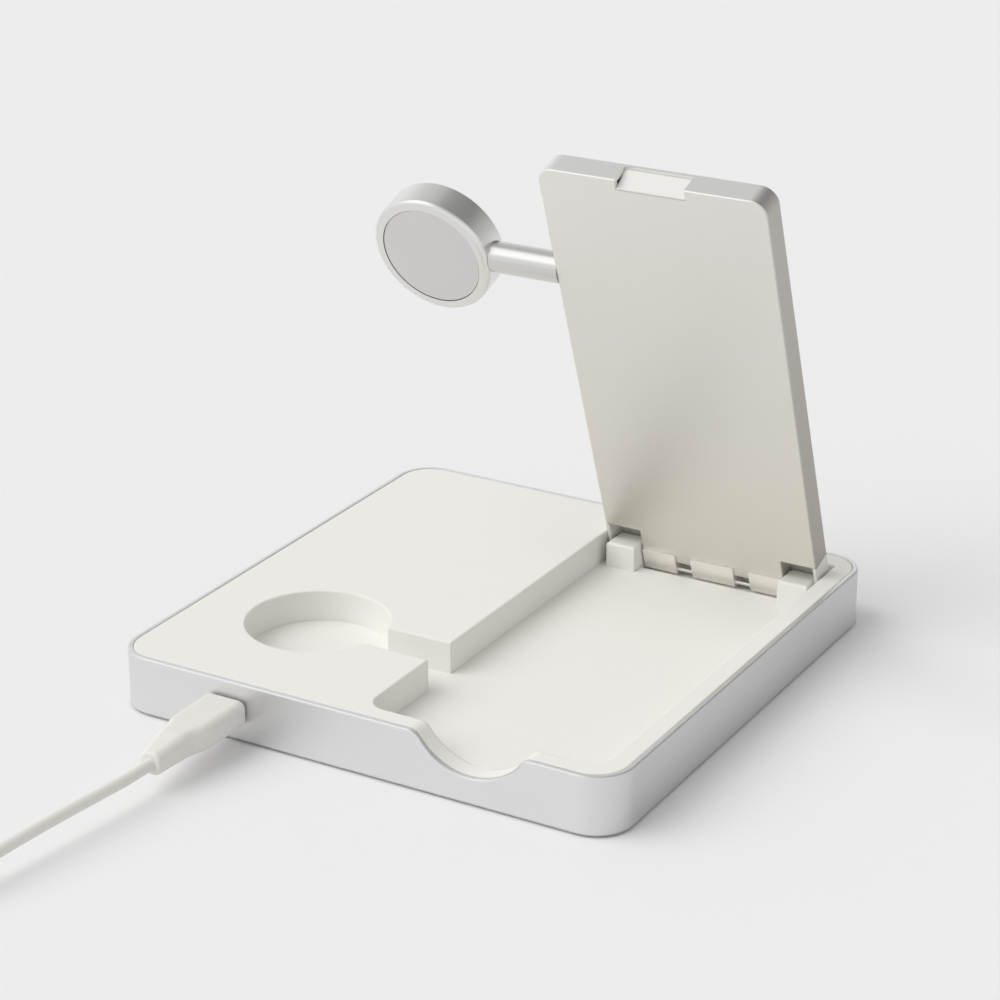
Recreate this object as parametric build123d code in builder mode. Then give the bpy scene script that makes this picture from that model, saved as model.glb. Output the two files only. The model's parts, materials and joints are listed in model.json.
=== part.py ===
"""Three-in-one wireless charger: a square base, a fold-up phone panel and a watch puck on a rod.

Millimetres. +X runs along the cable side, +Y from the cable side to the hinge, +Z up.
The origin is the middle of the footprint on the table. The panel is drawn open, at its stop.
"""

import os
from math import cos, hypot, pi, radians, sin

from build123d import *

os.makedirs("parts", exist_ok=True)

# Base
base_width = 130.0
base_depth = 133.8
band_height = 14.0
corner_radius = 9.0
band_wall = 1.2
band_edge = 0.25
foot_height = 0.6
foot_radius = 5.0
foot_sink = 0.5
foot_inset = 15.0
deck_thickness = 1.6
deck_edge = 0.3
skirt_wall = 1.2
well_wall = 1.4
floor_thickness = 1.4
bottom_thickness = 1.4
well_depth = 7.8
near_margin = 5.6
far_margin = 7.0
right_margin = 6.1
scoop_radius = 15.8
scoop_round = 3.0
opening_edge = 0.35
post_edge = 0.6

# Panel
open_angle = 70.0
panel_width = 57.4
panel_thickness = 6.2
panel_corner = 4.0
panel_gap = 0.6
panel_lift = 1.3
panel_edge = 0.25
tray_wall = 1.2
cover_thickness = 0.8
rebate = 0.6
cover_gap = 0.05
cheek_thickness = 0.95
pull_width = 17.4
pull_front = 2.4
pull_back = 0.7
pull_insert = 3.6
pull_lip = 0.4

# Hinge
axis_inset = 2.7
heel = 3.0
heel_gap = 0.5
pin_radius = 1.0
pin_fit = 0.01
pin_clear = 0.4
pin_end = 0.6
running_fit = 0.05
post_width = 7.9
post_reach = 7.2
post_gap = 0.35
notch_gap = 0.3
knuckle_gap = 0.5
barrel_radius = 4.8
barrel_proud = 0.6
barrel_rise = 2.2
barrel_back = 2.2
barrel_edge = 0.3
barrel_gap = 4.3
end_barrel = 8.9
tray_drop = 0.45
tie_rod_radius = 0.5
tie_rod_out = 2.2
tie_rod_drop = 2.75
leaf_height = 14.0
leaf_thickness = 2.4
bay_gap = 0.4
bay_front = 3.8

# Watch puck and its rod
puck_radius = 15.65
puck_thickness = 8.4
puck_wall = 1.25
puck_round = 1.3
face_round = 0.5
puck_rim = 2.65
disc_thickness = 1.0
disc_gap = 0.12
face_thickness = 1.4
dish_radius = 60.0
dish_depth = 0.5
ledge = 0.9
arm_diameter = 7.6
spigot_diameter = 2.4
arm_proud = 0.9
spigot_length = 7.0
clamp_size = 8.0
recess_gap = 1.35
recess_left = 14.95
recess_near = 19.9
channel_gap = 1.3

# Electronics
coil_thickness = 0.8
ferrite_thickness = 0.8
board_thickness = 1.0
board_clear = 2.0
board_end_gap = 0.3
board_corner = 1.5
board_hole_inset = 3.0
standoff_height = 1.4
usb_board_reach = 13.0
main_board_side = 4.0
main_board_far = 14.0
panel_board_width = 34.0
panel_board_gap = 5.0
chip_size = 7.0
chip_round = 0.6
chip_height = 1.6
chip_pitch_x = 14.0
chip_pitch_y = 15.0
ferrite_rim = 0.5
earbud_coil_radius = 20.0
earbud_spot_y = 28.0
ring_radius = 26.0
ring_width = 4.0
ring_thickness = 1.8
phone_coil_radius = 21.0
phone_drop = 28.0
coil_hole = 9.0
puck_coil_radius = 11.0
puck_magnet_radius = 3.2
puck_magnet_gap = 0.4

# Socket, plug and cable
port_height = 7.3
socket_width = 8.94
socket_height = 3.26
socket_wall = 0.25
socket_length = 7.3
tongue_height = 0.7
tongue_gap = 0.4
tongue_inset = 1.0
port_gap = 0.25
plug_width = 8.34
plug_height = 2.56
plug_wall = 0.35
plug_depth = 6.2
plug_web = 0.3
grip_width = 11.0
grip_height = 6.4
grip_length = 20.5
grip_straight = 12.5
grip_round = 2.0
grip_nose = 1.0
grip_stand_off = 0.4
neck_width = 7.6
neck_length = 8.5
neck_tip_width = 5.2
neck_tip_height = 5.4
neck_rim = 0.8
neck_droop = 0.9
cable_diameter = 2.8
cable_lead = 6.8
coil_mid_radius = 16.8
coil_columns = 4
coil_layers = 2
coil_x = -67.0
coil_y = -203.5
tie_width = 7.0
tie_thickness = 0.7
tie_slack = 1.2
tail_length = 18.0
tail_start = 3.0

# Fasteners and standoffs
screw_inset = 7.2
screw_head = 2.2
screw_radius = 1.1
screw_cap = 0.8
screw_end_gap = 0.2
boss_radius = 2.4
standoff_radius = 2.0

# How close two places count as one
touch = 0.001

# Heights and places that follow from the sizes above
deck_top = foot_height + band_height
inside_top = foot_height + bottom_thickness
floor_z = deck_top - well_depth
lean = radians(90.0 - open_angle)
heel_radius = hypot(panel_thickness - axis_inset, heel)
well_far = base_depth / 2 - far_margin
well_near = -base_depth / 2 + near_margin
well_right = base_width / 2 - right_margin
well_left = well_right - panel_width - 2 * panel_gap
well_mid_x = (well_left + well_right) / 2
well_mid_y = (well_near + well_far) / 2
hinge_y = well_far - heel_gap - heel_radius
hinge_z = floor_z + panel_lift + axis_inset
bay_z = hinge_z - barrel_radius - bay_gap
screw_top = bay_z - screw_cap
panel_left = well_left + panel_gap
panel_right = well_right - panel_gap
panel_reach = hinge_y - well_near - panel_gap
cover_plane = axis_inset - panel_thickness
cover_inner = cover_plane + cover_thickness
post_top = -cover_inner - post_gap
post_left = panel_left + cheek_thickness + post_gap
notch_top = hypot(post_reach, post_top) + notch_gap
notch_width = cheek_thickness + post_gap + post_width + notch_gap
knuckle_left = post_left + post_width + knuckle_gap
knuckle_right = 2 * well_mid_x - knuckle_left
recess_radius = puck_radius + recess_gap
disc_radius = puck_radius - puck_rim
recess_y = -base_depth / 2 + recess_near + recess_radius
puck_x = -base_width / 2 + recess_left + recess_radius
arm_z = cover_plane + arm_diameter / 2 - arm_proud
arm_height = hinge_y - recess_y
arm_length = panel_left - puck_radius - puck_x
phone_spot = arm_height - phone_drop
channel_width = arm_diameter + 2 * channel_gap
near_face = -base_depth / 2
port_x = puck_x
port_z = foot_height + port_height

# The panel's own plane: x as the base, y up the panel from the hinge axis, z out of its metal back
fold = Plane(origin=(0, hinge_y, hinge_z), x_dir=(1, 0, 0), z_dir=(0, -cos(lean), -sin(lean)))
fold_side = Plane(fold.origin, x_dir=fold.y_dir, z_dir=fold.x_dir)
puck_plane = Plane(
    origin=fold.from_local_coords((puck_x, arm_height, arm_z)), x_dir=(1, 0, 0), z_dir=fold.z_dir
)


def save(piece, name):
    piece.part.label = name
    export_step(piece.part, f"parts/{name}.step")


def rounded_block(width, depth, radius, bottom, top):
    """An upright block about the origin with rounded corners, added to the part being built."""
    with BuildSketch(Plane.XY.offset(bottom)) as outline:
        RectangleRounded(width, depth, radius)
    extrude(outline.sketch, amount=top - bottom)


def box_between(low, high, mode=Mode.ADD):
    """A box given by its two corners."""
    middle = tuple((a + b) / 2 for a, b in zip(low, high))
    with Locations(middle):
        Box(*[b - a for a, b in zip(low, high)], mode=mode)


def stadium_along_y(width, height, y_from, y_to, mode=Mode.ADD):
    """A flat-sided oval bar at the port's centre."""
    with BuildSketch(Plane.XZ.offset(-y_from)) as outline:
        with Locations((port_x, port_z)):
            SlotOverall(width, height)
    extrude(outline.sketch, amount=y_from - y_to, mode=mode)


def ring_profile(points):
    """A closed profile of radius and height, turned about the puck's axis."""
    with BuildSketch(Plane(puck_plane.origin, x_dir=(1, 0, 0), z_dir=-puck_plane.y_dir)) as outline:
        with BuildLine():
            Polyline(*points, close=True)
        make_face()
    revolve(outline.sketch, axis=Axis(puck_plane.origin, puck_plane.z_dir))


# Aluminium band round the base, with the thumb scoop and the port cut through its near side
inner_width = base_width - 2 * band_wall
inner_depth = base_depth - 2 * band_wall
inner_radius = corner_radius - band_wall
scoop_axis_z = floor_z + scoop_radius


def cut_scoop(y_from, y_to):
    """The thumb scoop: a round trough whose upper corners roll over into the deck."""
    with BuildSketch(Plane.XZ.offset(-y_from)) as outline:
        with Locations((well_mid_x, scoop_axis_z)):
            Circle(scoop_radius)
        with Locations((well_mid_x, deck_top + scoop_radius)):
            Rectangle(4 * scoop_radius, 2 * scoop_radius)
        lips = outline.vertices().group_by(Axis.Y)[0].sort_by(Axis.X)[1:3]
        fillet(lips, scoop_round)
    extrude(outline.sketch, amount=y_from - y_to, mode=Mode.SUBTRACT)


def rim_edges(part, width, depth, radius):
    """Upper edges of an upright wall with this outline, down into the scoop and up again."""

    def on_wall(edge):
        spot = edge @ 0.5
        over_x = abs(spot.X) - width / 2 + radius
        over_y = abs(spot.Y) - depth / 2 + radius
        reach = hypot(max(over_x, 0), max(over_y, 0)) + min(max(over_x, over_y), 0)
        return abs(reach - radius) < touch and spot.Z > floor_z - touch

    return part.edges().filter_by(Axis.Z, reverse=True).filter_by(on_wall)


with BuildPart() as base_band:
    rounded_block(base_width, base_depth, corner_radius, foot_height, deck_top)
    with BuildSketch(Plane.XY.offset(foot_height)):
        RectangleRounded(inner_width, inner_depth, inner_radius)
    extrude(amount=band_height, mode=Mode.SUBTRACT)
    cut_scoop(near_face - band_wall, near_face + 2 * band_wall)
    chamfer(rim_edges(base_band, base_width, base_depth, corner_radius), band_edge)
    stadium_along_y(
        socket_width + 2 * port_gap,
        socket_height + 2 * port_gap,
        near_face - band_wall,
        near_face + 2 * band_wall,
        mode=Mode.SUBTRACT,
    )
save(base_band, "base_band")

# White deck: one moulding with the panel well, rod channel, puck recess, scoop, posts and skirt
plate_under = deck_top - deck_thickness
floor_under = floor_z - floor_thickness
post_lefts = (post_left, 2 * well_mid_x - post_left - post_width)
screw_x = inner_width / 2 - screw_inset
screw_y = inner_depth / 2 - screw_inset
channel_mid = (puck_x + well_left) / 2
channel_length = well_left - puck_x

with BuildPart() as top_deck:
    rounded_block(inner_width, inner_depth, inner_radius, inside_top, deck_top)
    with BuildSketch(Plane.XY.offset(inside_top)):
        RectangleRounded(
            inner_width - 2 * skirt_wall, inner_depth - 2 * skirt_wall, inner_radius - skirt_wall
        )
    extrude(amount=plate_under - inside_top, mode=Mode.SUBTRACT)
    # walls and floors that hang under the plate
    with BuildSketch(Plane.XY.offset(floor_under)):
        with Locations((well_mid_x, well_mid_y)):
            RectangleRounded(
                well_right - well_left + 2 * well_wall,
                well_far - well_near + 2 * well_wall,
                panel_corner + panel_gap + well_wall,
            )
        with Locations((puck_x, recess_y)):
            Circle(recess_radius + well_wall)
        with Locations((channel_mid, recess_y)):
            Rectangle(channel_length, channel_width + 2 * well_wall)
    extrude(amount=plate_under - floor_under)
    box_between(
        (well_left - well_wall, hinge_y - bay_front - well_wall, bay_z - floor_thickness),
        (well_right + well_wall, well_far + well_wall, floor_z),
    )
    box_between(
        (well_mid_x - scoop_radius - well_wall, near_face + band_wall, floor_under),
        (well_mid_x + scoop_radius + well_wall, well_near, plate_under),
    )
    with BuildSketch(Plane.XY.offset(inside_top)):
        with GridLocations(2 * screw_x, 2 * screw_y, 2, 2):
            Circle(boss_radius)
    extrude(amount=plate_under - inside_top)
    # the openings
    with BuildSketch(Plane.XY.offset(floor_z)):
        with Locations((well_mid_x, well_mid_y)):
            RectangleRounded(
                well_right - well_left, well_far - well_near, panel_corner + panel_gap
            )
        with Locations((puck_x, recess_y)):
            Circle(recess_radius)
        with Locations((channel_mid, recess_y)):
            Rectangle(channel_length, channel_width)
    extrude(amount=well_depth, mode=Mode.SUBTRACT)
    box_between(
        (well_left, hinge_y - bay_front, bay_z),
        (well_right, well_far, deck_top),
        mode=Mode.SUBTRACT,
    )
    # softened edges, then the scoop through them
    fillet(top_deck.faces().sort_by(Axis.Z)[-1].inner_wires().edges(), opening_edge)
    cut_scoop(near_face, well_near + opening_edge)
    chamfer(rim_edges(top_deck, inner_width, inner_depth, inner_radius), deck_edge)
    stadium_along_y(
        socket_width + 2 * port_gap,
        socket_height + 2 * port_gap,
        near_face,
        near_face + band_wall + 2 * skirt_wall,
        mode=Mode.SUBTRACT,
    )
    with BuildSketch(Plane.XY.offset(inside_top)):
        with GridLocations(2 * screw_x, 2 * screw_y, 2, 2):
            Circle(screw_radius + pin_fit)
    extrude(amount=screw_top - inside_top, mode=Mode.SUBTRACT)
    # hinge posts, rounded behind the axis so that the panel's cover swings past them
    for left in post_lefts:
        with BuildSketch(Plane.YZ.offset(left)):
            with BuildLine():
                foot_line = Line((hinge_y + post_top, bay_z), (hinge_y - post_reach, bay_z))
                rise = Line(foot_line @ 1, (hinge_y - post_reach, hinge_z + post_top))
                Line(rise @ 1, (hinge_y, hinge_z + post_top))
                back = CenterArc((hinge_y, hinge_z), post_top, 90, -90)
                Line(back @ 1, foot_line @ 0)
            make_face()
        extrude(amount=post_width)
        corners = top_deck.edges().filter_by_position(Axis.X, left - touch, left + post_width + touch)
        crown = corners.filter_by_position(Axis.Z, hinge_z + post_top - touch, hinge_z + post_top + touch)
        fillet(crown.filter_by_position(Axis.Y, hinge_y - post_reach - touch, hinge_y + touch), post_edge)
    with BuildSketch(Plane.YZ.offset(post_lefts[0])):
        with Locations((hinge_y, hinge_z)):
            Circle(pin_radius + pin_fit)
    extrude(amount=post_lefts[1] + post_width - post_lefts[0], mode=Mode.SUBTRACT)
save(top_deck, "top_deck")

# Steel hinge pin, held in both posts
with BuildPart() as hinge_pin:
    with BuildSketch(Plane.YZ.offset(post_lefts[0] + pin_end)):
        with Locations((hinge_y, hinge_z)):
            Circle(pin_radius)
    extrude(amount=post_lefts[1] + post_width - post_lefts[0] - 2 * pin_end)
save(hinge_pin, "hinge_pin")

# Bottom cover with foot pockets, countersunk screw holes and board standoffs
usb_board_top = port_z - socket_height / 2
usb_board_y = (
    near_face + band_wall + skirt_wall + board_end_gap,
    recess_y - recess_radius - well_wall - board_clear,
)
usb_board_x = (-screw_x + boss_radius + board_clear, port_x + usb_board_reach)
main_board_z = inside_top + standoff_height
main_board_x = (-inner_width / 2 + skirt_wall + main_board_side, well_left - well_wall - main_board_side)
main_board_y = (
    recess_y + recess_radius + well_wall + board_clear,
    inner_depth / 2 - skirt_wall - main_board_far,
)
foot_x = base_width / 2 - foot_inset
foot_y = base_depth / 2 - foot_inset


def board_posts(x_range, y_range):
    """Standoff places near the corners of a board."""
    return [
        (x, y)
        for x in (x_range[0] + board_hole_inset, x_range[1] - board_hole_inset)
        for y in (y_range[0] + board_hole_inset, y_range[1] - board_hole_inset)
    ]


with BuildPart() as bottom_cover:
    rounded_block(inner_width, inner_depth, inner_radius, foot_height, inside_top)
    with BuildSketch(Plane.XY.offset(foot_height)):
        with GridLocations(2 * foot_x, 2 * foot_y, 2, 2):
            Circle(foot_radius + pin_fit)
    extrude(amount=foot_sink, mode=Mode.SUBTRACT)
    with BuildSketch(Plane.XY.offset(inside_top)):
        with Locations(*board_posts(main_board_x, main_board_y)):
            Circle(standoff_radius)
    extrude(amount=main_board_z - inside_top)
    with BuildSketch(Plane.XY.offset(inside_top)):
        with Locations(*board_posts(usb_board_x, usb_board_y)):
            Circle(standoff_radius)
    extrude(amount=usb_board_top - board_thickness - inside_top)
    with Locations(Plane.XY.offset(foot_height).rotated((180, 0, 0))):
        with GridLocations(2 * screw_x, 2 * screw_y, 2, 2):
            CounterSinkHole(screw_radius + pin_fit, screw_head + pin_fit, bottom_thickness)
save(bottom_cover, "bottom_cover")

for number, (sx, sy) in enumerate([(-1, -1), (1, -1), (-1, 1), (1, 1)], start=1):
    with BuildPart() as foot:
        with Locations((sx * foot_x, sy * foot_y, 0)):
            Cylinder(
                foot_radius, foot_height + foot_sink, align=(Align.CENTER, Align.CENTER, Align.MIN)
            )
        chamfer(foot.faces().sort_by(Axis.Z)[0].edges(), foot_height / 2)
    save(foot, f"foot_{number}")

    cone = screw_head - screw_radius
    with BuildPart() as screw:
        with BuildSketch(Plane.XZ):
            with BuildLine():
                Polyline(
                    (0, foot_height),
                    (screw_head, foot_height),
                    (screw_radius, foot_height + cone),
                    (screw_radius, screw_top - screw_end_gap),
                    (0, screw_top - screw_end_gap),
                    close=True,
                )
            make_face()
        revolve(axis=Axis.Z)
    screw.part.move(Location((sx * screw_x, sy * screw_y, 0)))
    save(screw, f"cover_screw_{number}")

# Circuit boards with their larger parts
with BuildPart() as main_board:
    box_between(
        (main_board_x[0], main_board_y[0], main_board_z),
        (main_board_x[1], main_board_y[1], main_board_z + board_thickness),
    )
    with BuildSketch(Plane.XY.offset(main_board_z + board_thickness)):
        with Locations(((main_board_x[0] + main_board_x[1]) / 2, (main_board_y[0] + main_board_y[1]) / 2)):
            with GridLocations(chip_pitch_x, chip_pitch_y, 3, 4):
                RectangleRounded(chip_size, chip_size, chip_round)
    extrude(amount=chip_height)
save(main_board, "main_board")

with BuildPart() as usb_board:
    box_between(
        (usb_board_x[0], usb_board_y[0], usb_board_top - board_thickness),
        (usb_board_x[1], usb_board_y[1], usb_board_top),
    )
save(usb_board, "usb_board")

# Socket: a flat oval shell with a tongue
socket_mouth = near_face + port_gap
with BuildPart() as usb_c_socket:
    stadium_along_y(socket_width, socket_height, socket_mouth, socket_mouth + socket_length)
    stadium_along_y(
        socket_width - 2 * socket_wall,
        socket_height - 2 * socket_wall,
        socket_mouth,
        socket_mouth + socket_length - socket_wall,
        mode=Mode.SUBTRACT,
    )
    tongue_width = plug_width - 2 * plug_wall - 2 * tongue_gap
    box_between(
        (port_x - tongue_width / 2, socket_mouth + tongue_inset, port_z - tongue_height / 2),
        (port_x + tongue_width / 2, socket_mouth + socket_length, port_z + tongue_height / 2),
    )
save(usb_c_socket, "usb_c_socket")

# Charging coil for earbuds under the free half of the deck, with its ferrite
earbud_x = (-inner_width / 2 + skirt_wall + well_left - well_wall) / 2
with BuildPart() as earbud_coil:
    with BuildSketch(Plane.XY.offset(plate_under)):
        with Locations((earbud_x, earbud_spot_y)):
            Circle(earbud_coil_radius)
            Circle(coil_hole, mode=Mode.SUBTRACT)
    extrude(amount=-coil_thickness)
save(earbud_coil, "earbud_coil")

with BuildPart() as earbud_ferrite:
    with BuildSketch(Plane.XY.offset(plate_under - coil_thickness)):
        with Locations((earbud_x, earbud_spot_y)):
            Circle(earbud_coil_radius + ferrite_rim)
    extrude(amount=-ferrite_thickness)
save(earbud_ferrite, "earbud_ferrite")

# Metal tray of the panel: notched round the posts, with a ramped finger pull in its top edge
barrels = [
    (knuckle_left, knuckle_left + end_barrel),
    (knuckle_left + end_barrel + barrel_gap, knuckle_right - end_barrel - barrel_gap),
    (knuckle_right - end_barrel, knuckle_right),
]
barrel_rooms = [
    (panel_left + notch_width, barrels[0][1] + running_fit),
    (barrels[1][0] - running_fit, barrels[1][1] + running_fit),
    (barrels[2][0] - running_fit, panel_right - notch_width),
]


def tray_outline(plane, inset):
    """The tray's outline, moved in by a wall; an inset outline runs on past the hinge end."""
    low = -tray_drop if inset == 0 else -heel
    left, right = panel_left + inset, panel_right - inset
    inner_left = panel_left + notch_width + inset
    inner_right = panel_right - notch_width - inset
    with BuildSketch(plane) as outline:
        with BuildLine():
            Polyline(
                (left, notch_top + inset),
                (inner_left, notch_top + inset),
                (inner_left, low),
                (inner_right, low),
                (inner_right, notch_top + inset),
                (right, notch_top + inset),
                (right, panel_reach - inset),
                (left, panel_reach - inset),
                close=True,
            )
        make_face()
        fillet(outline.vertices().group_by(Axis.Y)[-1], panel_corner - inset)
    return outline.sketch


pull_low = panel_reach - pull_front
pull_high = panel_reach - pull_back
with BuildPart() as panel_tray:
    extrude(tray_outline(fold.offset(axis_inset), 0), amount=-panel_thickness)
    chamfer(panel_tray.faces().sort_by(Axis(fold.origin, fold.z_dir))[-1].edges(), panel_edge)
    cavity = tray_outline(fold.offset(axis_inset - tray_wall), tray_wall)
    extrude(cavity, amount=-panel_thickness, mode=Mode.SUBTRACT)
    extrude(tray_outline(fold.offset(cover_inner), rebate), amount=-2 * cover_thickness, mode=Mode.SUBTRACT)
    with BuildSketch(fold.offset(cover_inner)):
        with Locations((well_mid_x, (notch_top - heel) / 2)):
            Rectangle(panel_width, notch_top + heel)
    extrude(amount=-2 * cover_thickness, mode=Mode.SUBTRACT)
    for start, end in barrel_rooms:
        with BuildSketch(fold_side.offset(start)):
            Circle(barrel_radius + running_fit)
            with Locations((barrel_rise + running_fit, 0)):
                Rectangle(
                    3 * barrel_radius, 3 * barrel_radius, align=(Align.MAX, Align.CENTER), mode=Mode.INTERSECT
                )
        extrude(amount=end - start, mode=Mode.SUBTRACT)
    with BuildSketch(fold_side.offset(well_mid_x - pull_width / 2)):
        with BuildLine():
            Polyline(
                (pull_low - pull_lip, axis_inset + tray_wall),
                (pull_low - pull_lip, axis_inset - tray_wall),
                (panel_reach - pull_insert, axis_inset - tray_wall),
                (panel_reach - pull_insert, cover_inner),
                (panel_reach + tray_wall, cover_inner),
                (panel_reach + tray_wall, axis_inset + tray_wall),
                close=True,
            )
        make_face()
    extrude(amount=pull_width, mode=Mode.SUBTRACT)
    with Locations(Plane(fold.from_local_coords((panel_left, arm_height, arm_z)), z_dir=(1, 0, 0))):
        Cylinder(spigot_diameter / 2 + running_fit, 4 * tray_wall, mode=Mode.SUBTRACT)
save(panel_tray, "panel_tray")

# White cover on the phone side, with cheeks outside the posts and the floor of the finger pull
with BuildPart() as panel_cover:
    extrude(tray_outline(fold.offset(cover_inner), rebate + cover_gap), amount=-cover_thickness)
    with BuildSketch(fold.offset(cover_inner)):
        with Locations((well_mid_x, (notch_top - cover_gap - heel) / 2)):
            Rectangle(panel_width, notch_top - cover_gap + heel)
    extrude(amount=-cover_thickness)
    for left in (panel_left, panel_right - cheek_thickness):
        with BuildSketch(fold_side.offset(left)):
            with BuildLine():
                Polyline(
                    (notch_top - cover_gap, cover_inner),
                    (notch_top - cover_gap, axis_inset),
                    (0, axis_inset),
                )
                CenterArc((0, 0), axis_inset, 90, 90)
                Polyline((-axis_inset, 0), (-axis_inset, cover_inner), (notch_top - cover_gap, cover_inner))
            make_face()
        extrude(amount=cheek_thickness)
    with BuildSketch(fold_side.offset(well_mid_x - pull_width / 2 + cover_gap)):
        with BuildLine():
            Polyline(
                (pull_low - pull_lip + cover_gap, axis_inset),
                (pull_low, axis_inset),
                (pull_high - cover_gap, cover_inner),
                (panel_reach - pull_insert + cover_gap, cover_inner),
                (panel_reach - pull_insert + cover_gap, axis_inset - tray_wall - cover_gap),
                (pull_low - pull_lip + cover_gap, axis_inset - tray_wall - cover_gap),
                close=True,
            )
        make_face()
    extrude(amount=pull_width - 2 * cover_gap)
save(panel_cover, "panel_cover")

# Hinge knuckles: three flat-fronted barrels on the pin, a thin tie rod and the leaf that carries the tray
barrel_front = axis_inset + barrel_proud
with BuildPart() as hinge_knuckles:
    with BuildSketch(fold.offset(axis_inset - tray_wall)):
        with Locations((well_mid_x, (pin_radius + pin_clear + leaf_height) / 2)):
            Rectangle(knuckle_right - knuckle_left - 2 * tray_wall, leaf_height - pin_radius - pin_clear)
    extrude(amount=-leaf_thickness)
    for start, end in barrels:
        with BuildSketch(fold_side.offset(start)) as section:
            Circle(barrel_radius)
            with Locations((barrel_rise, (barrel_front - barrel_back) / 2)):
                Rectangle(
                    3 * barrel_radius,
                    barrel_front + barrel_back,
                    align=(Align.MAX, Align.CENTER),
                    mode=Mode.INTERSECT,
                )
            top_corners = section.vertices().sort_by(Axis(fold.origin, fold.y_dir))[-2:]
            chamfer(top_corners.sort_by(Axis(fold.origin, fold.z_dir))[-1], barrel_edge)
        extrude(amount=end - start)
    with BuildSketch(fold_side.offset(knuckle_left)):
        with Locations((-tie_rod_drop, tie_rod_out)):
            Circle(tie_rod_radius)
    extrude(amount=knuckle_right - knuckle_left)
    with BuildSketch(fold_side.offset(knuckle_left)):
        Circle(pin_radius + running_fit)
    extrude(amount=knuckle_right - knuckle_left, mode=Mode.SUBTRACT)
save(hinge_knuckles, "hinge_knuckles")

# Phone charging stack on the inside of the cover, and the panel's board on the tray
with BuildPart() as magnet_ring:
    with BuildSketch(fold.offset(cover_inner)):
        with Locations((well_mid_x, phone_spot)):
            Circle(ring_radius)
            Circle(ring_radius - ring_width, mode=Mode.SUBTRACT)
            with Locations((0, -ring_radius)):
                Rectangle(ring_width, 3 * ring_width, mode=Mode.SUBTRACT)
    extrude(amount=ring_thickness)
save(magnet_ring, "magnet_ring")

with BuildPart() as phone_coil:
    with BuildSketch(fold.offset(cover_inner)):
        with Locations((well_mid_x, phone_spot)):
            Circle(phone_coil_radius)
            Circle(coil_hole, mode=Mode.SUBTRACT)
    extrude(amount=coil_thickness)
save(phone_coil, "phone_coil")

with BuildPart() as phone_ferrite:
    with BuildSketch(fold.offset(cover_inner + coil_thickness)):
        with Locations((well_mid_x, phone_spot)):
            Circle(phone_coil_radius + ferrite_rim)
    extrude(amount=ferrite_thickness)
save(phone_ferrite, "phone_ferrite")

panel_board_low = phone_spot + ring_radius + panel_board_gap
panel_board_high = panel_reach - pull_insert - panel_board_gap
with BuildPart() as panel_board:
    with BuildSketch(fold.offset(axis_inset - tray_wall)):
        with Locations((well_mid_x, (panel_board_low + panel_board_high) / 2)):
            RectangleRounded(panel_board_width, panel_board_high - panel_board_low, board_corner)
    extrude(amount=-board_thickness)
save(panel_board, "panel_board")

# Rod from the panel to the puck, with a spigot at each end
arm_start = Plane(
    fold.from_local_coords((panel_left, arm_height, arm_z)), x_dir=fold.z_dir, z_dir=(-1, 0, 0)
)
cavity_mid = (axis_inset - tray_wall + cover_inner) / 2
with BuildPart() as puck_arm:
    with BuildSketch(arm_start):
        Circle(arm_diameter / 2)
    extrude(amount=arm_length + puck_wall)
    with Locations(puck_plane):
        Cylinder(puck_radius, 2 * puck_thickness, mode=Mode.SUBTRACT)
    with BuildSketch(arm_start):
        Circle(spigot_diameter / 2)
    extrude(amount=-spigot_length)
    with BuildSketch(arm_start.offset(arm_length - puck_wall)):
        Circle(spigot_diameter / 2)
    extrude(amount=3 * puck_wall)
save(puck_arm, "puck_arm")

with BuildPart() as arm_clamp:
    with BuildSketch(arm_start.offset(-tray_wall)):
        with Locations((cavity_mid - arm_z, 0)):
            Rectangle(axis_inset - tray_wall - cover_inner, clamp_size)
    extrude(amount=-clamp_size)
    with BuildSketch(arm_start):
        Circle(spigot_diameter / 2 + pin_fit)
    extrude(amount=-spigot_length, mode=Mode.SUBTRACT)
save(arm_clamp, "arm_clamp")

# Watch puck: a metal ring with an inset disc on its back and a dished charging face
half = puck_thickness / 2
with BuildPart() as puck_housing:
    ring_profile(
        [
            (disc_radius + disc_gap, half),
            (puck_radius, half),
            (puck_radius, -half),
            (puck_radius - puck_wall, -half),
            (puck_radius - puck_wall, -half + face_thickness),
            (puck_radius - puck_wall - ledge, -half + face_thickness),
            (puck_radius - puck_wall - ledge, half - disc_thickness - ledge),
            (disc_radius - ledge, half - disc_thickness - ledge),
            (disc_radius - ledge, half - disc_thickness),
            (disc_radius + disc_gap, half - disc_thickness),
        ]
    )
    rims = puck_housing.edges().filter_by(GeomType.CIRCLE)
    rims = rims.filter_by(lambda rim: abs(rim.radius - puck_radius) < touch)
    rims = rims.sort_by(Axis(puck_plane.origin, puck_plane.z_dir))
    fillet(rims[-1], puck_round)
    fillet(rims[0], face_round)
    with BuildSketch(arm_start.offset(arm_length - puck_wall)):
        Circle(spigot_diameter / 2 + pin_fit)
    extrude(amount=4 * puck_wall, mode=Mode.SUBTRACT)
save(puck_housing, "puck_housing")

with BuildPart() as puck_back_disc:
    with BuildSketch(puck_plane.offset(half - disc_thickness)):
        Circle(disc_radius)
    extrude(amount=disc_thickness - disc_gap)
    chamfer(puck_back_disc.faces().sort_by(Axis(puck_plane.origin, puck_plane.z_dir))[-1].edges(), disc_gap)
save(puck_back_disc, "puck_back_disc")

with BuildPart() as puck_charge_face:
    with BuildSketch(puck_plane.offset(-half)):
        Circle(puck_radius - puck_wall - cover_gap)
    extrude(amount=face_thickness)
    with Locations(puck_plane.offset(-half - dish_radius + dish_depth)):
        Sphere(dish_radius, mode=Mode.SUBTRACT)
save(puck_charge_face, "puck_charge_face")

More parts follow.
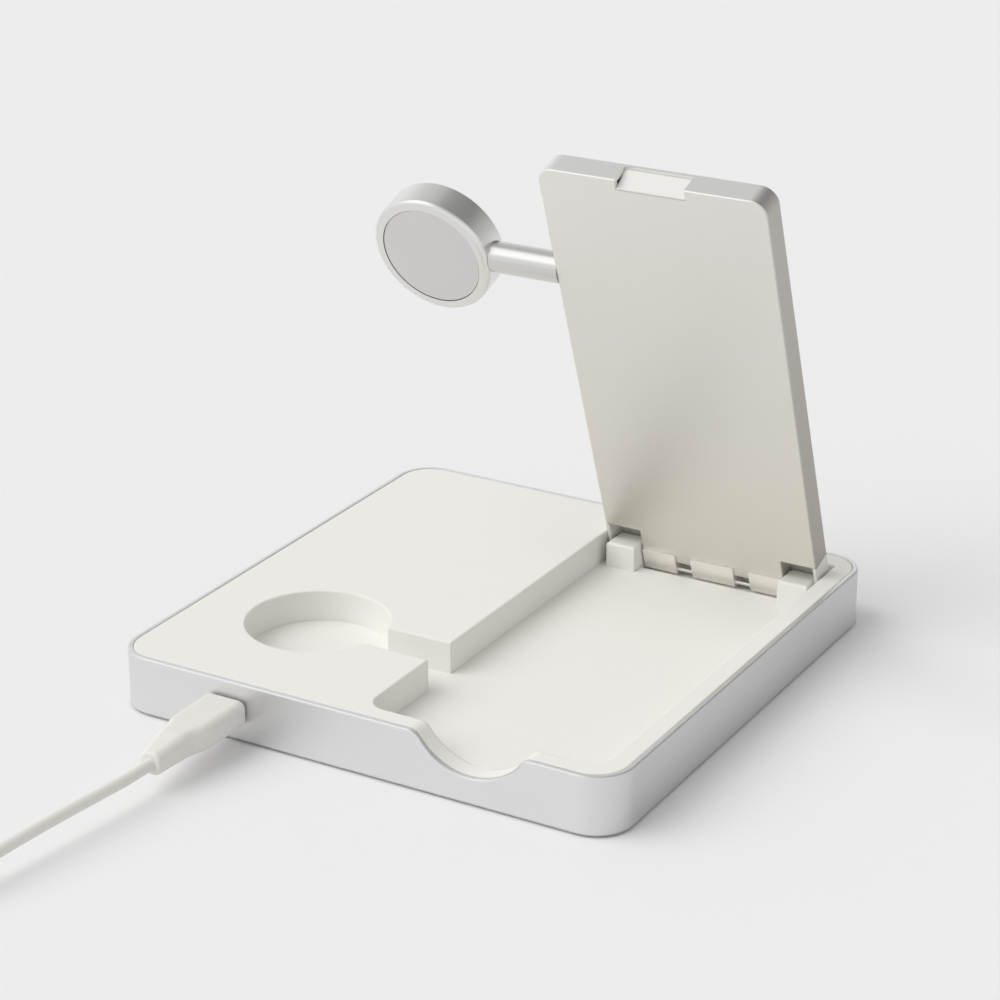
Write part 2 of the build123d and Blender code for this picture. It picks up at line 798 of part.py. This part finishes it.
face_inside = puck_plane.offset(-half + face_thickness)
with BuildPart() as puck_coil:
    with BuildSketch(face_inside):
        Circle(puck_coil_radius)
        Circle(puck_magnet_radius + puck_magnet_gap, mode=Mode.SUBTRACT)
    extrude(amount=coil_thickness)
save(puck_coil, "puck_coil")

with BuildPart() as puck_magnet:
    with BuildSketch(face_inside):
        Circle(puck_magnet_radius)
    extrude(amount=coil_thickness)
save(puck_magnet, "puck_magnet")

with BuildPart() as puck_ferrite:
    with BuildSketch(face_inside.offset(coil_thickness)):
        Circle(puck_coil_radius + ferrite_rim)
    extrude(amount=ferrite_thickness)
save(puck_ferrite, "puck_ferrite")

# Plug in the socket: steel shell, waisted grip and a short strain relief
grip_face = near_face - grip_stand_off
with BuildPart() as plug_shell:
    stadium_along_y(plug_width, plug_height, grip_face, grip_face + plug_depth + grip_stand_off)
    stadium_along_y(
        plug_width - 2 * plug_wall,
        plug_height - 2 * plug_wall,
        grip_face + plug_web,
        grip_face + plug_depth + grip_stand_off,
        mode=Mode.SUBTRACT,
    )
save(plug_shell, "plug_shell")


def grip(plane):
    """A grip drawn in plan along the plane's normal, from the connector face to the waist at the neck."""
    plan = Plane(plane.origin, x_dir=plane.z_dir, z_dir=plane.y_dir)
    waist = ((grip_straight + grip_length) / 2, (grip_width + neck_width) / 4)
    with BuildSketch(plan) as outline:
        with BuildLine():
            flank = Line((0, grip_width / 2), (grip_straight, grip_width / 2))
            shoulder = TangentArc(flank @ 1, waist, tangent=flank % 1)
            hollow = TangentArc(shoulder @ 1, (grip_length, neck_width / 2), tangent=shoulder % 1)
            Polyline(hollow @ 1, (grip_length, 0), (0, 0), flank @ 0)
        make_face()
        mirror(about=Plane.XZ)
    extrude(outline.sketch, amount=grip_height / 2, both=True)


def neck(plane, droop):
    """The strain relief that narrows from the grip to the cable and sags a little on the way."""
    with BuildSketch(plane) as wide:
        RectangleRounded(neck_width, grip_height, grip_round)
    with BuildSketch(plane.offset(neck_length)) as narrow:
        with Locations((0, -droop)):
            RectangleRounded(neck_tip_width, neck_tip_height, grip_round)
    loft([wide.sketch.face(), narrow.sketch.face()])


plug_plane = Plane((port_x, grip_face, port_z), x_dir=(1, 0, 0), z_dir=(0, -1, 0))
with BuildPart() as plug_grip:
    grip(plug_plane)
    fillet(plug_grip.faces().filter_by(Axis.Z).edges().filter_by(Axis.X, reverse=True), grip_round)
    fillet(plug_grip.faces().sort_by(Axis.Y)[-1].edges(), grip_nose)
save(plug_grip, "plug_grip")

with BuildPart() as plug_relief:
    neck(plug_plane.offset(grip_length), neck_droop)
    fillet(plug_relief.faces().sort_by(Axis.Y)[0].edges(), neck_rim)
save(plug_relief, "plug_relief")

# Cable: out of the relief, down to the table and away to a tied coil
cable_radius = cable_diameter / 2
cable_start = (port_x, grip_face - grip_length - neck_length, port_z - neck_droop)
cable_route = [
    cable_start,
    (port_x, cable_start[1] - cable_lead, port_z - neck_droop),
    (-34.4, -114.0, 7.0),
    (-36.4, -130.0, 6.9),
    (-38.4, -146.0, 6.2),
    (-41.0, -161.0, 4.3),
    (-43.8, -175.0, 2.2),
    (-45.6, -186.5, 1.6),
    (-46.1, -194.0, 1.9),
    (-46.0, -200.0, 2.1),
]


def bend_radii(points):
    """The largest even bend at each inner point: 0.45 of its shorter run over the half turn's tangent."""
    radii = []
    for before, here, after in zip(points, points[1:], points[2:]):
        first, second = Vector(here) - Vector(before), Vector(after) - Vector(here)
        half_turn = radians(first.get_angle(second) / 2)
        radii.append(0.45 * min(first.length, second.length) * cos(half_turn) / sin(half_turn))
    return radii


cable_bends = bend_radii(cable_route)
print("cable bend radii", [round(r, 1) for r in cable_bends])
with BuildPart() as cable:
    with BuildLine() as cable_line:
        FilletPolyline(*cable_route, radius=cable_bends)
    with BuildSketch(Plane(cable_route[0], z_dir=Vector(cable_route[1]) - Vector(cable_route[0]))):
        Circle(cable_radius)
    cable_path = cable_line.wire()
    sweep(path=cable_path)
print("cable run", round(cable_path.length, 1))
print("volume over section", round(cable.part.volume / (pi * cable_radius**2), 1))
save(cable, "cable")

coil_width = coil_columns * cable_diameter
coil_height = coil_layers * cable_diameter
with BuildPart() as cable_coil:
    with BuildSketch(Plane.XZ):
        with Locations((coil_mid_radius, tie_thickness + coil_height / 2)):
            RectangleRounded(coil_width, coil_height, cable_radius)
    revolve(axis=Axis.Z)
cable_coil.part.move(Location((coil_x, coil_y, 0)))
save(cable_coil, "cable_coil")

with BuildPart() as cable_tie:
    with BuildSketch(Plane.XZ.offset(-tie_width / 2)):
        with Locations((-coil_mid_radius, tie_thickness + coil_height / 2)):
            RectangleRounded(
                coil_width + tie_slack + 2 * tie_thickness,
                coil_height + 2 * tie_thickness,
                cable_radius,
            )
            RectangleRounded(
                coil_width + tie_slack, coil_height, cable_radius - tie_thickness, mode=Mode.SUBTRACT
            )
    extrude(amount=tie_width)
cable_tie.part.move(Location((coil_x, coil_y, 0), (0, 0, 1), 60))
save(cable_tie, "cable_tie")

# Far end: a short tail from the coil to a second plug, lying beside the coil
tail_x = coil_x - coil_mid_radius - coil_width / 2 + cable_radius
tail_z = grip_height / 2
tail_from = coil_y + tail_start
with BuildPart() as cable_tail:
    with BuildSketch(Plane((tail_x, tail_from, tail_z), x_dir=(1, 0, 0), z_dir=(0, 1, 0))):
        Circle(cable_radius)
    extrude(amount=tail_length)
save(cable_tail, "cable_tail")

far_relief_end = tail_from + tail_length
far_plane = Plane(
    (tail_x, far_relief_end + neck_length + grip_length, tail_z), x_dir=(1, 0, 0), z_dir=(0, -1, 0)
)
with BuildPart() as far_relief:
    neck(far_plane.offset(grip_length), 0)
    fillet(far_relief.faces().sort_by(Axis.Y)[0].edges(), neck_rim)
save(far_relief, "far_relief")

with BuildPart() as far_grip:
    grip(far_plane)
    fillet(far_grip.faces().filter_by(Axis.Z).edges().filter_by(Axis.X, reverse=True), grip_round)
    fillet(far_grip.faces().sort_by(Axis.Y)[-1].edges(), grip_nose)
save(far_grip, "far_grip")

with BuildPart() as far_shell:
    with BuildSketch(far_plane):
        SlotOverall(plug_width, plug_height)
    extrude(amount=-plug_depth)
    with BuildSketch(far_plane.offset(-plug_web)):
        SlotOverall(plug_width - 2 * plug_wall, plug_height - 2 * plug_wall)
    extrude(amount=-plug_depth, mode=Mode.SUBTRACT)
save(far_shell, "far_shell")

print("hinge", round(hinge_y, 3), round(hinge_z, 3), "reach", round(panel_reach, 3))
print("recess", round(puck_x, 3), round(recess_y, 3), "well", round(well_left, 3), round(well_right, 3))
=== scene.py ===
import json
import math

import bpy
from mathutils import Matrix, Vector


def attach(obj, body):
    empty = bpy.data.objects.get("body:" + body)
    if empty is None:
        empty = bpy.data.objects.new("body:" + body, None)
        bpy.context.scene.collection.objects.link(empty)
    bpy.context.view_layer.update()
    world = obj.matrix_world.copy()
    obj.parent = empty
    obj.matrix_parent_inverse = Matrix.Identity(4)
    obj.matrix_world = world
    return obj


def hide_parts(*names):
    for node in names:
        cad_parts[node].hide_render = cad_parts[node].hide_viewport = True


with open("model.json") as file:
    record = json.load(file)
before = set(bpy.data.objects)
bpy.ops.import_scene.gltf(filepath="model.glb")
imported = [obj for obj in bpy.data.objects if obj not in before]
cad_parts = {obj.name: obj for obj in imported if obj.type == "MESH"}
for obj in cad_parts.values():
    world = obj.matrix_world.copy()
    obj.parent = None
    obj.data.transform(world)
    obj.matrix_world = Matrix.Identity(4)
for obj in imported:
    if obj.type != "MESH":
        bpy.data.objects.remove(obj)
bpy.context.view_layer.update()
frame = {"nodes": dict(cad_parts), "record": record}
nodes = frame["nodes"]
mm = 0.001
print("frame loaded:", len(nodes), "nodes")


# camera, fitted to the photograph's edges; plain, with no shift and no focus blur
cameraSet = {
    "azimuth": 30.003,
    "elevation": 22.514,
    "distance": 684.413 * mm,
    "slideRight": 0.931 * mm,
    "slideUp": -37.526 * mm,
    "aimHeight": 0.6 * mm,
    "lens": 103.13,
    "sensor": 36.0,
    "clipStart": 0.01,
    "clipEnd": 50,
}


def makeCamera(s):
    turn = math.radians(s["azimuth"])
    rise = math.radians(s["elevation"])
    back = Vector((math.sin(turn) * math.cos(rise), -math.cos(turn) * math.cos(rise), math.sin(rise)))
    right = (-back).cross(Vector((0, 0, 1))).normalized()
    up = right.cross(-back)
    spot = back * s["distance"] - right * s["slideRight"] - up * s["slideUp"]
    spot += Vector((0, 0, s["aimHeight"]))
    bpy.ops.object.camera_add(location=spot)
    cam = bpy.context.object
    cam.name = "photoCamera"
    cam.matrix_world = Matrix((
        (right.x, up.x, back.x, spot.x),
        (right.y, up.y, back.y, spot.y),
        (right.z, up.z, back.z, spot.z),
        (0, 0, 0, 1),
    ))
    cam.data.sensor_width = s["sensor"]
    cam.data.lens = s["lens"]
    cam.data.clip_start = s["clipStart"]
    cam.data.clip_end = s["clipEnd"]
    bpy.context.scene.camera = cam


makeCamera(cameraSet)
print("camera set")


# shader maths: a Wire is one socket, and arithmetic on wires adds Math nodes
class Wire:
    def __init__(self, shop, socket):
        self.shop = shop
        self.socket = socket

    def maths(self, how, first, second=None):
        sockets = {0: first} if second is None else {0: first, 1: second}
        return self.shop.node("ShaderNodeMath", {"operation": how}, sockets)

    def __add__(self, other):
        return self.maths("ADD", self, other)

    def __radd__(self, other):
        return self.maths("ADD", other, self)

    def __sub__(self, other):
        return self.maths("SUBTRACT", self, other)

    def __rsub__(self, other):
        return self.maths("SUBTRACT", other, self)

    def __mul__(self, other):
        return self.maths("MULTIPLY", self, other)

    def __rmul__(self, other):
        return self.maths("MULTIPLY", other, self)

    def __gt__(self, other):
        return self.maths("GREATER_THAN", self, other)

    def __abs__(self):
        return self.maths("ABSOLUTE", self)


class Shop:
    def __init__(self, tree):
        self.tree = tree

    def node(self, kind, settings=None, sockets=None, out=0):
        made = self.tree.nodes.new(kind)
        for key, value in (settings or {}).items():
            setattr(made, key, value)
        for key, value in (sockets or {}).items():
            self.plug(made.inputs[key], value)
        return Wire(self, made.outputs[out]) if made.outputs else None

    def plug(self, socket, value):
        if isinstance(value, Wire):
            self.tree.links.new(value.socket, socket)
        else:
            socket.default_value = value

    def place(self):
        return self.node("ShaderNodeTexCoord", out="Object")

    def axis(self, which):
        return self.node("ShaderNodeSeparateXYZ", None, {0: self.place()}, out=which)

    def noise(self, scale, detail, rough, where=None):
        return self.node(
            "ShaderNodeTexNoise", None,
            {"Vector": where or self.place(), "Scale": scale, "Detail": detail, "Roughness": rough},
        )

    def blend(self, mask, first, second, how="MIX"):
        return self.node(
            "ShaderNodeMix", {"data_type": "RGBA", "blend_type": how}, {0: mask, 6: first, 7: second}, out=2
        )

    def tint(self, mask, first, second):
        return self.blend(mask, first, second, "MULTIPLY")

    def slope(self, value, begin, end, low, high):
        return self.node(
            "ShaderNodeMapRange", {"interpolation_type": "SMOOTHSTEP"},
            {"Value": value, "From Min": begin, "From Max": end, "To Min": low, "To Max": high},
        )

    def along(self, way, line):
        return self.node("ShaderNodeVectorMath", {"operation": "DOT_PRODUCT"}, {0: way, 1: line}, out="Value")

    def bump(self, height, strength, depth, softEdge=None):
        sockets = {"Height": height, "Strength": strength, "Distance": depth}
        if softEdge:
            sockets["Normal"] = self.node("ShaderNodeBevel", {"samples": 6}, {"Radius": softEdge})
        return self.node("ShaderNodeBump", None, sockets)


def rgb(r, g, b):
    return (r, g, b, 1.0)


def startMaterial(name):
    made = bpy.data.materials.new(name)
    made.use_nodes = True
    made.node_tree.nodes.clear()
    return made, Shop(made.node_tree)


def closeMaterial(shop, values):
    shader = shop.node("ShaderNodeBsdfPrincipled", None, values)
    shop.node("ShaderNodeOutputMaterial", None, {"Surface": shader})


# bead-blasted, anodised aluminium and plain metals: a fine grain, and a wide cloud in the tone
# the flank colour is painted shade on walls that face along X beyond "flankFrom", and the foot colour is
# painted shade, darker and warmer towards the panel's hinge end
blastFinish = {
    "grain": 5200, "sparkle": 0.10, "grainDepth": 0.02 * mm,
    "cloud": 60, "cloudShare": 0.8,
    "roughDrop": 0.05, "grainRough": 0.06, "cloudRough": 0.04,
    "softEdge": None,
}
bandLook = {
    "colour": rgb(0.835, 0.835, 0.835), "shade": rgb(0.805, 0.805, 0.81), "rough": 0.40,
    # painted shade: the flank colour darkens the band's faces that face along X beyond 20 mm
    "flank": rgb(0.82, 0.82, 0.82), "flankFrom": 20 * mm, "softEdge": 0.7 * mm,
}
panelLook = {
    "colour": rgb(0.885, 0.882, 0.862), "shade": rgb(0.86, 0.855, 0.833), "rough": 0.44,
    # painted shade: the flank colour darkens the panel's right-hand side walls
    "flank": rgb(0.57, 0.555, 0.53), "flankFrom": 50 * mm,
    # painted shade: the foot colour darkens and warms the panel towards its hinge end
    "foot": rgb(0.885, 0.87, 0.835), "footHeight": 22 * mm, "headHeight": 122 * mm,
}
# painted light: a lighter copy of the panel's aluminium, offsetting the shade the knuckles sit in
knuckleLitLook = {"colour": rgb(0.98, 0.968, 0.93), "shade": rgb(0.965, 0.95, 0.915), "rough": 0.56}
puckLook = {
    "colour": rgb(0.81, 0.805, 0.79), "shade": rgb(0.79, 0.785, 0.77), "rough": 0.30,
    "grain": 4200, "sparkle": 0.03,
}
discLook = {"colour": rgb(0.735, 0.73, 0.715), "shade": rgb(0.705, 0.70, 0.685), "rough": 0.46}
steelLook = {"colour": rgb(0.62, 0.62, 0.63), "shade": rgb(0.54, 0.54, 0.55), "rough": 0.30, "grain": 2400}
magnetLook = {"colour": rgb(0.58, 0.58, 0.60), "shade": rgb(0.52, 0.52, 0.54), "rough": 0.25, "grain": 1800}
copperLook = {"colour": rgb(0.70, 0.36, 0.20), "shade": rgb(0.55, 0.25, 0.13), "rough": 0.35, "grain": 2000}


def blastedMetal(name, look):
    s = {**blastFinish, **look}
    made, shop = startMaterial(name)
    fine = shop.noise(s["grain"], detail=2, rough=0.6)
    cloud = shop.noise(s["cloud"], detail=3, rough=0.5)
    mottle = cloud * s["cloudShare"] + fine * (1 - s["cloudShare"])
    tone = shop.blend(mottle, s["colour"], s["shade"])
    # painted shade: walls that face along X beyond flankFrom take the darker flank colour
    if "flank" in s:
        facing = shop.node("ShaderNodeNewGeometry", out="Normal")
        sideways = shop.node("ShaderNodeSeparateXYZ", None, {0: facing}, out=0)
        tone = shop.tint(abs(sideways) * (shop.axis(0) > s["flankFrom"]), tone, s["flank"])
    # painted shade: the panel grows darker and warmer towards its hinge end
    if "foot" in s:
        low = shop.slope(shop.axis(2), s["headHeight"], s["footHeight"], 0.0, 1.0)
        tone = shop.tint(low, tone, s["foot"])
    closeMaterial(shop, {
        "Base Color": tone,
        "Metallic": 1.0,
        "Roughness": s["rough"] - s["roughDrop"] + fine * s["grainRough"] + cloud * s["cloudRough"],
        "Normal": shop.bump(fine, s["sparkle"], s["grainDepth"], s["softEdge"]),
    })
    return made


# turned and polished rod, with fine rings across its length
rodLook = {
    "colour": rgb(0.69, 0.685, 0.67), "rough": 0.22,
    "rings": (4000, 300, 300), "ringRough": 0.04, "ringBump": 0.02, "ringDepth": 0.005 * mm,
}


def polishedMetal(name, s):
    made, shop = startMaterial(name)
    stretched = shop.node("ShaderNodeMapping", None, {"Vector": shop.place(), "Scale": s["rings"]})
    rings = shop.noise(1.0, detail=2, rough=0.5, where=stretched)
    closeMaterial(shop, {
        "Base Color": s["colour"],
        "Metallic": 1.0,
        "Roughness": s["rough"] + rings * s["ringRough"],
        "Normal": shop.bump(rings, s["ringBump"], s["ringDepth"]),
    })
    return made


# moulded plastic with a fine spark texture; rubber, ferrite and boards are made the same way
mouldFinish = {
    "sparkBump": 0.10, "sparkDepth": 0.02 * mm, "cloud": 35,
    "roughDrop": 0.04, "sparkRough": 0.08, "softEdge": None,
}
deckLook = {
    "colour": rgb(0.838, 0.829, 0.792), "shade": rgb(0.823, 0.813, 0.775), "rough": 0.60, "spark": 3600,
    "softEdge": 0.6 * mm,
}
coverLook = {
    "colour": rgb(0.77, 0.765, 0.74), "shade": rgb(0.755, 0.75, 0.725), "rough": 0.55, "spark": 3600,
    "softEdge": 0.4 * mm,
}
faceLook = {"colour": rgb(0.84, 0.84, 0.83), "shade": rgb(0.83, 0.83, 0.82), "rough": 0.18, "spark": 900}
cableLook = {"colour": rgb(0.785, 0.77, 0.735), "shade": rgb(0.76, 0.745, 0.705), "rough": 0.55, "spark": 2600}
tieLook = {"colour": rgb(0.70, 0.69, 0.67), "shade": rgb(0.60, 0.59, 0.57), "rough": 0.8, "spark": 2200}
footLook = {"colour": rgb(0.42, 0.42, 0.41), "shade": rgb(0.36, 0.36, 0.35), "rough": 0.75, "spark": 2600}
ferriteLook = {"colour": rgb(0.12, 0.12, 0.125), "shade": rgb(0.08, 0.08, 0.085), "rough": 0.6, "spark": 1500}
boardLook = {"colour": rgb(0.03, 0.15, 0.07), "shade": rgb(0.02, 0.10, 0.05), "rough": 0.4, "spark": 1200}


def mouldedPlastic(name, look):
    s = {**mouldFinish, **look}
    made, shop = startMaterial(name)
    spark = shop.noise(s["spark"], detail=2, rough=0.6)
    cloud = shop.noise(s["cloud"], detail=2, rough=0.5)
    closeMaterial(shop, {
        "Base Color": shop.blend(cloud, s["colour"], s["shade"]),
        "Roughness": s["rough"] - s["roughDrop"] + spark * s["sparkRough"],
        "Normal": shop.bump(spark, s["sparkBump"], s["sparkDepth"], s["softEdge"]),
    })
    return made


# each piece takes the material of its slot, apart from four: the puck's ring and disc with finishes of their
# own, the panel's cover in a greyer white, and the hinge knuckles in a lighter copy of the panel's aluminium,
# painted light that offsets the shade they sit in
slotLooks = {
    "band_metal": blastedMetal("bandAluminium", bandLook),
    "panel_metal": blastedMetal("panelAluminium", panelLook),
    "polished_metal": polishedMetal("polishedRod", rodLook),
    "white_plastic": mouldedPlastic("whiteDeckPlastic", deckLook),
    "charge_face": mouldedPlastic("puckFacePlastic", faceLook),
    "cable_white": mouldedPlastic("cableSleeve", cableLook),
    "tie": mouldedPlastic("tieStrap", tieLook),
    "foot_rubber": mouldedPlastic("footRubber", footLook),
    "steel": blastedMetal("plainSteel", steelLook),
    "board": mouldedPlastic("boardLacquer", boardLook),
    "copper": blastedMetal("coilCopper", copperLook),
    "ferrite": mouldedPlastic("ferriteSheet", ferriteLook),
    "magnet": blastedMetal("nickelMagnet", magnetLook),
}
nodeLooks = {
    "hinge_knuckles": blastedMetal("knuckleAluminiumPaintedLight", knuckleLitLook),
    "panel_cover": mouldedPlastic("panelCoverPlastic", coverLook),
    "puck_housing": blastedMetal("puckRingAluminium", puckLook),
    "puck_back_disc": blastedMetal("puckDiscAluminium", discLook),
}
nodeSlot = {s["node"]: s["material_slot"] for s in frame["record"]["subparts"]}


def dress(obj, material):
    obj.data.materials.clear()
    obj.data.materials.append(material)


for name, obj in nodes.items():
    dress(obj, nodeLooks.get(name) or slotLooks[nodeSlot[name]])
print("materials made:", len(bpy.data.materials))


# cable, in millimetres but for its length in metres: the route from the relief to the coil, the coil's
# turns and the tail to the far plug
cableSet = {
    "diameter": 2.8,
    "length": 0.92,
    "route": [
        (-33.05, -96.3, 7.0), (-33.05, -103.1, 7.0), (-34.4, -114.0, 7.0), (-36.4, -130.0, 6.9),
        (-38.4, -146.0, 6.2), (-41.0, -161.0, 4.3), (-43.8, -175.0, 2.2), (-45.6, -186.5, 1.6),
        (-46.1, -194.0, 1.9), (-46.0, -200.0, 2.1),
    ],
    "coilMiddle": (-67.0, -203.5),
    "coilSteps": 90,
    "stepsPerTurn": 12,
    "lanes": [  # step, radius, height: inwards on the floor, up, and outwards again on top
        (0, 21.0, 2.1), (10, 21.0, 2.1), (12, 18.2, 2.1), (22, 18.2, 2.1), (24, 15.4, 2.1), (34, 15.4, 2.1),
        (36, 12.6, 2.1), (44, 12.6, 2.1), (46, 12.6, 4.9), (54, 12.6, 4.9), (56, 15.4, 4.9), (66, 15.4, 4.9),
        (68, 18.2, 4.9), (78, 18.2, 4.9), (80, 21.0, 4.9), (90, 21.0, 4.9),
    ],
    "tail": [(-88.0, -197.5, 4.7), (-88.1, -191.0, 3.7), (-88.0, -186.5, 3.2), (-88.0, -182.5, 3.2)],
    "carries": ["plug_shell", "plug_grip", "plug_relief", "cable_tie", "far_relief", "far_grip", "far_shell"],
}


def coilTurns(s):
    midX, midY = s["coilMiddle"]
    halfStep = math.pi / s["stepsPerTurn"]
    spots = []
    for step in range(s["coilSteps"]):
        at = step + 0.5
        last = max(n for n, lane in enumerate(s["lanes"]) if lane[0] <= at)
        (begin, nearRadius, nearHeight), (end, farRadius, farHeight) = s["lanes"][last:last + 2]
        share = (at - begin) / (end - begin)
        # control points lie outside the curve that they draw, hence the cosine
        reach = (nearRadius + (farRadius - nearRadius) * share) / math.cos(halfStep)
        height = nearHeight + (farHeight - nearHeight) * share
        turn = -at * 2 * halfStep
        spots.append((midX + reach * math.cos(turn), midY + reach * math.sin(turn), height))
    return spots


def makeCable(s):
    points = [tuple(c * mm for c in spot) for spot in s["route"] + coilTurns(s) + s["tail"]]
    curve = bpy.data.curves.new("chargeCable", "CURVE")
    curve.dimensions = "3D"
    curve.bevel_depth = s["diameter"] * mm / 2
    curve.bevel_resolution = 6
    curve.resolution_u = 8
    curve.use_fill_caps = True
    line = curve.splines.new("NURBS")
    line.points.add(len(points) - 1)
    for point, spot in zip(line.points, points):
        point.co = (*spot, 1)
    line.order_u = 3
    line.use_endpoint_u = True
    cable = bpy.data.objects.new("chargeCable", curve)
    bpy.context.scene.collection.objects.link(cable)
    dress(cable, slotLooks["cable_white"])
    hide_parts("cable", "cable_coil", "cable_tail")
    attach(cable, "base")


makeCable(cableSet)
print("cable laid")


# floor, lamp and world: a pale sweep under an even room, and one broad light from the left front
floorSet = {"size": 8.0, "drop": 0.02 * mm, "colour": rgb(0.848, 0.848, 0.852), "rough": 0.9}
keySet = {"from": (-0.53, -0.45, 0.72), "away": 2.0, "power": 1.85, "spread": 56, "colour": (1, 0.995, 0.985)}
worldSet = {
    "strength": 0.58, "backdrop": 0.84,  # light on matt surfaces, and what the camera sees above the floor
    "horizon": 0.95, "zenith": 0.60,  # what shines in the metal: pale walls, two dim corners, a soft box
    "wallsFrom": 0.2, "wallsTo": 0.95,
    "dimSpots": [  # direction, cosines where it begins and is full, share of the wall's light that is left
        ((0.33, 0.345, 0.878), 0.80, 0.97, 0.52),
        ((0.40, 0.80, 0.45), 0.80, 0.97, 0.36),
    ],
    "softBox": (-0.53, -0.45, 0.72), "boxFrom": 0.84, "boxTo": 0.99, "boxGlow": 0.80,
}


def makeFloor(s):
    bpy.ops.object.select_all(action="DESELECT")
    bpy.ops.mesh.primitive_plane_add(size=s["size"], location=(0, 0, -s["drop"]))
    floor = bpy.context.object
    floor.name = "paleFloor"
    made, shop = startMaterial("paleFloor")
    closeMaterial(shop, {"Base Color": s["colour"], "Roughness": s["rough"]})
    dress(floor, made)


def makeKey(s):
    bpy.ops.object.light_add(type="SUN", location=Vector(s["from"]) * s["away"])
    lamp = bpy.context.object
    lamp.name = "keyLight"
    lamp.data.energy = s["power"]
    lamp.data.angle = math.radians(s["spread"])
    lamp.data.color = s["colour"]
    lamp.visible_glossy = False  # the world's soft box is what shines in the metal
    lamp.rotation_euler = Vector(s["from"]).to_track_quat("Z", "Y").to_euler()


def makeWorld(s):
    world = bpy.data.worlds.new("paleRoom")
    bpy.context.scene.world = world
    world.use_nodes = True
    world.node_tree.nodes.clear()
    shop = Shop(world.node_tree)
    way = shop.node("ShaderNodeTexCoord", out="Generated")
    seen = shop.node("ShaderNodeLightPath", out="Is Camera Ray")
    mirrored = shop.node("ShaderNodeLightPath", out="Is Glossy Ray")
    rise = shop.along(way, (0, 0, 1))
    walls = shop.slope(rise, s["wallsFrom"], s["wallsTo"], s["horizon"], s["zenith"])
    for spot, begin, end, share in s["dimSpots"]:
        walls = walls * shop.slope(shop.along(way, spot), begin, end, 1.0, share)
    box = shop.slope(shop.along(way, s["softBox"]), s["boxFrom"], s["boxTo"], 0.0, s["boxGlow"])
    level = s["strength"] + mirrored * (walls + box - s["strength"]) + seen * (s["backdrop"] - s["strength"])
    glow = shop.node("ShaderNodeBackground", None, {"Color": rgb(1, 1, 1), "Strength": level})
    shop.node("ShaderNodeOutputWorld", None, {"Surface": glow})


makeFloor(floorSet)
makeKey(keySet)
makeWorld(worldSet)
bpy.context.scene.view_settings.view_transform = "Standard"
print("stage lit")
